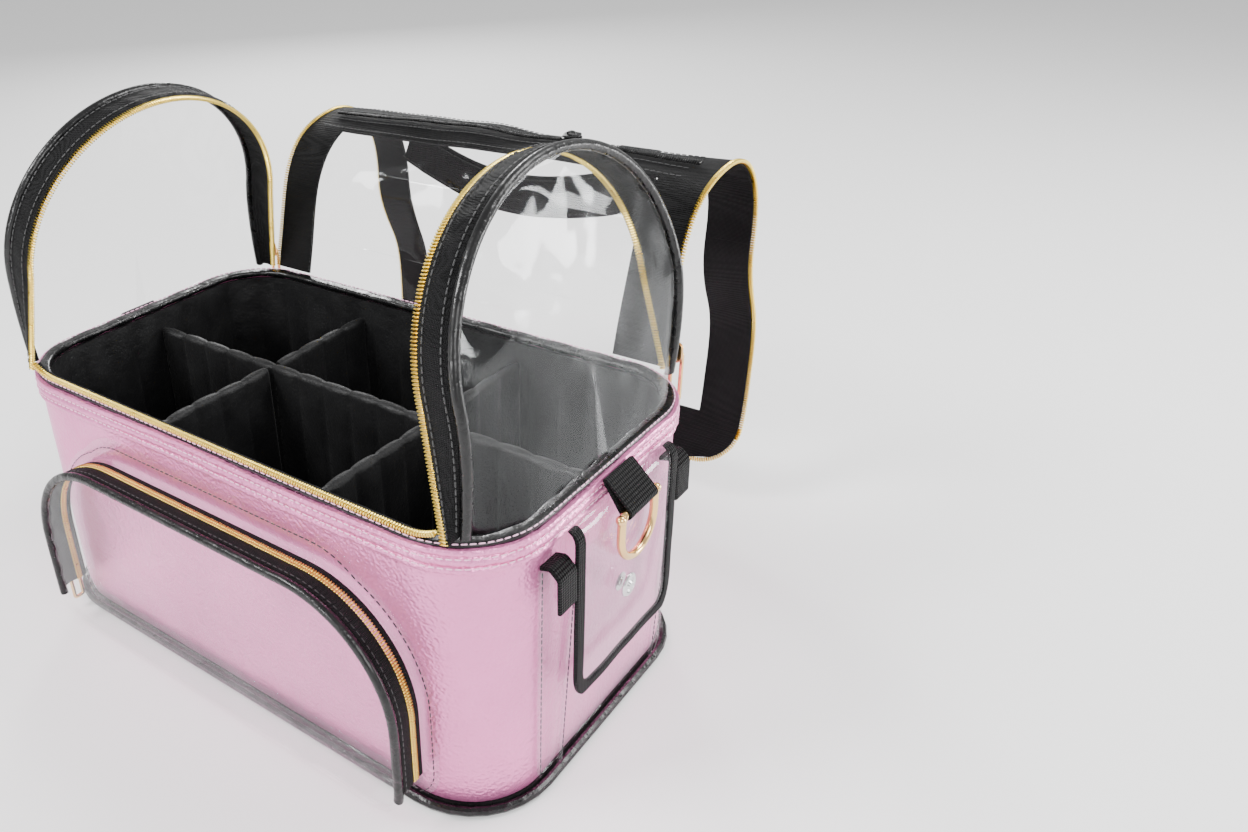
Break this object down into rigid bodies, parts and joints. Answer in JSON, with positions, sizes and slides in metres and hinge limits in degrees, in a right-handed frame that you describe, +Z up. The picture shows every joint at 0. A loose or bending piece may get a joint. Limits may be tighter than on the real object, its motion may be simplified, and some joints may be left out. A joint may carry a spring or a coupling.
{
  "type": "makeup train case",
  "caption": "Soft makeup train case with a zip-up clear dome, padded dividers, a clear front pocket, side pockets, D-rings and a carry handle",
  "frame": {"origin": "middle of the flat underside, where the case stands", "axes": "+X to the right seen from the front pocket, +Y to the back, +Z up"},
  "size_m": [0.3652, 0.3406, 0.2886],
  "materials": {
    "pink_leather": "metallic pebbled artificial leather",
    "black_nylon": "matt woven nylon tape",
    "black_liner": "matt padded nylon lining",
    "black_piping": "satin black vinyl cord",
    "clear_vinyl": "glossy clear soft vinyl",
    "gold_teeth": "satin gold",
    "gold_metal": "polished gold",
    "silver_metal": "polished silver"
  },
  "bodies": {
    "case": {"bottom_panel": "black_nylon", "bottom_piping": "black_piping", "base_shell": "pink_leather", "rim_welt": "pink_leather", "liner_tray": "black_liner", "liner_lip": "black_liner", "front_zip_tape": "black_nylon", "front_zip_teeth": "gold_teeth", "pocket_flange": "clear_vinyl", "pocket_gusset": "clear_vinyl", "pocket_floor": "clear_vinyl", "pocket_zip_teeth": "gold_teeth", "side_pocket_left": "clear_vinyl", "side_pocket_right": "clear_vinyl", "snap_stud_left": "silver_metal", "snap_stud_right": "silver_metal"},
    "long_divider": {"long_divider": "black_liner"},
    "cross_divider_front_left": {"cross_divider_front_left": "black_liner"},
    "cross_divider_front_right": {"cross_divider_front_right": "black_liner"},
    "cross_divider_back_left": {"cross_divider_back_left": "black_liner"},
    "cross_divider_back_right": {"cross_divider_back_right": "black_liner"},
    "cover_1": {"cover_panel_1": "clear_vinyl"},
    "cover_2": {"cover_panel_2": "clear_vinyl"},
    "cover_3": {"cover_panel_3": "clear_vinyl", "lid_zip_tape": "black_nylon"},
    "cover_4": {"cover_panel_4": "clear_vinyl"},
    "cover_5": {"cover_panel_5": "clear_vinyl"},
    "cover_6": {"cover_panel_6": "clear_vinyl"},
    "cover_7": {"cover_panel_7": "clear_vinyl"},
    "cover_8": {"cover_panel_8": "clear_vinyl", "cover_front_band": "black_nylon"},
    "lid_slider": {"lid_zip_slider": "black_piping"},
    "handle": {"carry_handle": "black_nylon"},
    "end_wall_right": {"end_panel_right": "clear_vinyl", "arch_piping_right": "black_piping", "arch_tape_right": "black_nylon", "arch_teeth_right": "gold_teeth"},
    "end_wall_left": {"end_panel_left": "clear_vinyl", "arch_piping_left": "black_piping", "arch_tape_left": "black_nylon", "arch_teeth_left": "gold_teeth"},
    "dome_slider_right": {"dome_zip_right_slider": "gold_metal"},
    "dome_slider_left": {"dome_zip_left_slider": "gold_metal"},
    "dome_pull_right": {"dome_zip_right_pull": "gold_metal"},
    "dome_pull_left": {"dome_zip_left_pull": "gold_metal"},
    "side_flap_right": {"side_flap_right": "clear_vinyl", "side_flap_binding_right": "black_nylon", "snap_cap_right": "silver_metal"},
    "side_flap_left": {"side_flap_left": "clear_vinyl", "side_flap_binding_left": "black_nylon", "snap_cap_left": "silver_metal"},
    "strap_right": {"strap_loop_right": "black_nylon"},
    "strap_left": {"strap_loop_left": "black_nylon"},
    "ring_right": {"d_ring_right": "gold_metal"},
    "ring_left": {"d_ring_left": "gold_metal"},
    "pocket_flap": {"pocket_front_panel": "clear_vinyl", "pocket_piping": "black_piping", "pocket_zip_tape": "black_nylon"},
    "pocket_slider": {"pocket_zip_slider": "gold_metal"},
    "pocket_pull": {"pocket_zip_pull": "gold_metal"}
  },
  "joints": [
    {"name": "long_divider_lift", "type": "slide", "parent": "case", "child": "long_divider", "axis": [0, 0, 1], "range_m": [0, 0.028]},
    {"name": "cross_divider_front_left_lift", "type": "slide", "parent": "case", "child": "cross_divider_front_left", "axis": [0, 0, 1], "range_m": [0, 0.055]},
    {"name": "cross_divider_front_right_lift", "type": "slide", "parent": "case", "child": "cross_divider_front_right", "axis": [0, 0, 1], "range_m": [0, 0.055]},
    {"name": "cross_divider_back_left_lift", "type": "slide", "parent": "case", "child": "cross_divider_back_left", "axis": [0, 0, 1], "range_m": [0, 0.055]},
    {"name": "cross_divider_back_right_lift", "type": "slide", "parent": "case", "child": "cross_divider_back_right", "axis": [0, 0, 1], "range_m": [0, 0.055]},
    {"name": "cover_fold_1", "type": "hinge", "parent": "case", "child": "cover_1", "pos_m": [0, 0.0948, 0.1533], "axis": [1, 0, 0], "range_deg": [0, 21.43]},
    {"name": "cover_fold_2", "type": "hinge", "parent": "cover_1", "child": "cover_2", "pos_m": [0, 0.10625, 0.19921], "axis": [1, 0, 0], "range_deg": [0, 20.94]},
    {"name": "cover_fold_3", "type": "hinge", "parent": "cover_2", "child": "cover_3", "pos_m": [0, 0.12971, 0.23984], "axis": [1, 0, 0], "range_deg": [0, 85.01]},
    {"name": "cover_fold_4", "type": "hinge", "parent": "cover_3", "child": "cover_4", "pos_m": [0, 0.1759, 0.24634], "axis": [1, 0, 0], "range_deg": [0, 90.58]},
    {"name": "cover_fold_5", "type": "hinge", "parent": "cover_4", "child": "cover_5", "pos_m": [0, 0.20474, 0.20942], "axis": [1, 0, 0], "range_deg": [0, 69.15]},
    {"name": "cover_fold_6", "type": "hinge", "parent": "cover_5", "child": "cover_6", "pos_m": [0, 0.20229, 0.16265], "axis": [1, 0, 0], "range_deg": [0, 1.55]},
    {"name": "cover_fold_7", "type": "hinge", "parent": "cover_6", "child": "cover_7", "pos_m": [0, 0.22273, 0.12072], "axis": [1, 0, 0], "range_deg": [0, 61.57]},
    {"name": "cover_fold_8", "type": "hinge", "parent": "cover_7", "child": "cover_8", "pos_m": [0, 0.2211, 0.07387], "axis": [1, 0, 0], "range_deg": [0, 26.25]},
    {"name": "lid_slider_slide", "type": "slide", "parent": "cover_3", "child": "lid_slider", "axis": [1, 0, 0], "range_m": [-0.17, 0.075]},
    {"name": "handle_swing", "type": "hinge", "parent": "cover_4", "child": "handle", "pos_m": [0, 0.17811, 0.23538], "axis": [1, 0, 0], "range_deg": [-75, 25]},
    {"name": "end_wall_lean_right", "type": "hinge", "parent": "case", "child": "end_wall_right", "pos_m": [0.1625, 0, 0.153], "axis": [0, 1, 0], "range_deg": [0, 13.02]},
    {"name": "end_wall_lean_left", "type": "hinge", "parent": "case", "child": "end_wall_left", "pos_m": [-0.1625, 0, 0.153], "axis": [0, -1, 0], "range_deg": [0, 13.02]},
    {"name": "dome_slider_right_slide", "type": "slide", "parent": "case", "child": "dome_slider_right", "axis": [0, -0.0995, 0.995], "range_m": [0, 0.025]},
    {"name": "dome_slider_left_slide", "type": "slide", "parent": "case", "child": "dome_slider_left", "axis": [0, -0.0995, 0.995], "range_m": [0, 0.025]},
    {"name": "dome_pull_right_swing", "type": "hinge", "parent": "dome_slider_right", "child": "dome_pull_right", "pos_m": [0.1467, 0.0986, 0.163], "axis": [1, 0, 0], "range_deg": [0, 150]},
    {"name": "dome_pull_left_swing", "type": "hinge", "parent": "dome_slider_left", "child": "dome_pull_left", "pos_m": [-0.1467, 0.0986, 0.163], "axis": [1, 0, 0], "range_deg": [0, 150]},
    {"name": "side_flap_right_open", "type": "hinge", "parent": "case", "child": "side_flap_right", "pos_m": [0.1682, 0, 0.144], "axis": [0, -1, 0], "range_deg": [0, 100]},
    {"name": "side_flap_left_open", "type": "hinge", "parent": "case", "child": "side_flap_left", "pos_m": [-0.1682, 0, 0.144], "axis": [0, 1, 0], "range_deg": [0, 100]},
    {"name": "strap_right_lift", "type": "hinge", "parent": "case", "child": "strap_right", "pos_m": [0.1688, 0, 0.15], "axis": [0, -1, 0], "range_deg": [0, 100.02]},
    {"name": "strap_left_lift", "type": "hinge", "parent": "case", "child": "strap_left", "pos_m": [-0.1688, 0, 0.15], "axis": [0, 1, 0], "range_deg": [0, 100.02]},
    {"name": "d_ring_right_swing", "type": "hinge", "parent": "strap_right", "child": "ring_right", "pos_m": [0.1795, 0, 0.1372], "axis": [0, -1, 0], "range_deg": [0, 60]},
    {"name": "d_ring_left_swing", "type": "hinge", "parent": "strap_left", "child": "ring_left", "pos_m": [-0.1795, 0, 0.1372], "axis": [0, 1, 0], "range_deg": [0, 60]},
    {"name": "pocket_flap_open", "type": "hinge", "parent": "case", "child": "pocket_flap", "pos_m": [0, -0.1153, 0.008], "axis": [1, 0, 0], "range_deg": [0, 85]},
    {"name": "pocket_slider_slide", "type": "slide", "parent": "case", "child": "pocket_slider", "axis": [0, 0, 1], "range_m": [0, 0.02]},
    {"name": "pocket_pull_swing", "type": "hinge", "parent": "pocket_slider", "child": "pocket_pull", "pos_m": [-0.1341, -0.1035, 0.036], "axis": [0, 1, 0], "range_deg": [0, 150]}
  ],
  "couplings": [
    {"joint": "cover_fold_1", "follows": "cover_fold_4", "ratio": 0.23634},
    {"joint": "cover_fold_2", "follows": "cover_fold_4", "ratio": 0.2309},
    {"joint": "cover_fold_3", "follows": "cover_fold_4", "ratio": 0.93825},
    {"joint": "cover_fold_5", "follows": "cover_fold_4", "ratio": 0.76318},
    {"joint": "cover_fold_6", "follows": "cover_fold_4", "ratio": 0.016798},
    {"joint": "cover_fold_7", "follows": "cover_fold_4", "ratio": 0.67945},
    {"joint": "cover_fold_8", "follows": "cover_fold_4", "ratio": 0.28948},
    {"joint": "end_wall_lean_right", "follows": "cover_fold_4", "ratio": 0.14353},
    {"joint": "end_wall_lean_left", "follows": "cover_fold_4", "ratio": 0.14353},
    {"joint": "strap_right_lift", "follows": "side_flap_right_open", "ratio": 1},
    {"joint": "strap_left_lift", "follows": "side_flap_left_open", "ratio": 1}
  ]
}
